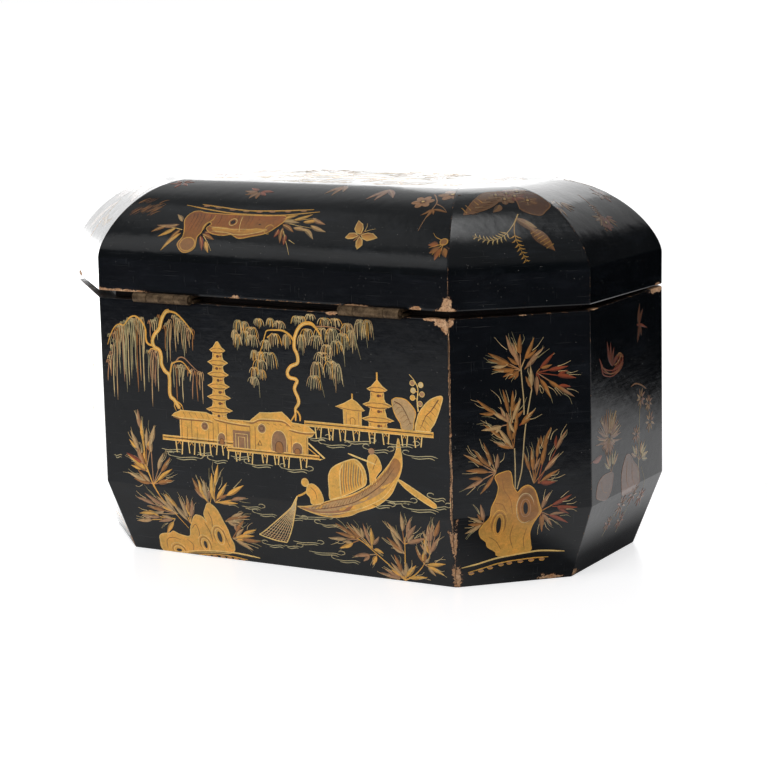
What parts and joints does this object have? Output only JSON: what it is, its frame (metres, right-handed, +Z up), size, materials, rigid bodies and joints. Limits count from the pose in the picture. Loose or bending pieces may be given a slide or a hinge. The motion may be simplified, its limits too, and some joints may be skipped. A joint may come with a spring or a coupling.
{
  "type": "lacquered wooden box",
  "caption": "Elongated octagonal lacquered box with a slanted foot and a hinged, domed lid that closes round an inner lip and locks at the front.",
  "frame": {"origin": "middle of the underside, on the surface that the box stands on", "axes": "+Z up, +X along the length, -Y to the front with the keyhole, +Y to the back with the hinges"},
  "size_m": [0.302, 0.1924, 0.1899],
  "materials": {
    "lacquered_wood": "glossy black lacquer over wood, worn at the edges",
    "plain_lacquer": "plain black lacquer, satin",
    "gilt_decoration": "raised gold and red-gold lacquer lines, slightly rubbed",
    "hinge_brass": "old brass, darkened and worn",
    "lock_brass": "old brass, satin"
  },
  "bodies": {
    "body": {"back_wall": "lacquered_wood", "back_skirt": "lacquered_wood", "back_left_wall": "lacquered_wood", "back_left_skirt": "lacquered_wood", "left_wall": "lacquered_wood", "left_skirt": "lacquered_wood", "front_left_wall": "lacquered_wood", "front_left_skirt": "lacquered_wood", "front_wall": "lacquered_wood", "front_skirt": "lacquered_wood", "front_right_wall": "lacquered_wood", "front_right_skirt": "lacquered_wood", "right_wall": "lacquered_wood", "right_skirt": "lacquered_wood", "back_right_wall": "lacquered_wood", "back_right_skirt": "lacquered_wood", "bottom_board": "plain_lacquer", "back_lip_strip": "plain_lacquer", "left_lip_strip": "plain_lacquer", "right_lip_strip": "plain_lacquer", "front_lip_strips": "plain_lacquer", "corner_lip_strips": "plain_lacquer", "left_hinge_body_leaf": "hinge_brass", "left_hinge_pin": "hinge_brass", "right_hinge_body_leaf": "hinge_brass", "right_hinge_pin": "hinge_brass", "body_hinge_screws": "hinge_brass", "lock_case": "lock_brass", "lock_cap": "lock_brass", "lock_screws": "lock_brass", "keyhole_plate": "lock_brass", "keyhole_plate_pins": "lock_brass"},
    "lid": {"lid_back_rim": "lacquered_wood", "lid_back_shoulder": "lacquered_wood", "lid_back_left_rim": "lacquered_wood", "lid_back_left_shoulder": "lacquered_wood", "lid_left_rim": "lacquered_wood", "lid_left_shoulder": "lacquered_wood", "lid_front_left_rim": "lacquered_wood", "lid_front_left_shoulder": "lacquered_wood", "lid_front_rim": "lacquered_wood", "lid_front_shoulder": "lacquered_wood", "lid_front_right_rim": "lacquered_wood", "lid_front_right_shoulder": "lacquered_wood", "lid_right_rim": "lacquered_wood", "lid_right_shoulder": "lacquered_wood", "lid_back_right_rim": "lacquered_wood", "lid_back_right_shoulder": "lacquered_wood", "lid_top_board": "lacquered_wood", "lid_hinge_screws": "hinge_brass", "left_hinge_lid_leaf": "hinge_brass", "right_hinge_lid_leaf": "hinge_brass", "staple_plate": "lock_brass", "staple_plate_screws": "lock_brass"},
    "bolt": {"lock_bolt": "lock_brass"}
  },
  "joints": [
    {"name": "lid_hinge", "type": "hinge", "parent": "body", "child": "lid", "pos_m": [0, 0.0957, 0.136], "axis": [-1, 0, 0], "range_deg": [0, 105]},
    {"name": "bolt_slide", "type": "slide", "parent": "body", "child": "bolt", "axis": [1, 0, 0], "range_m": [0, 0.005]}
  ]
}
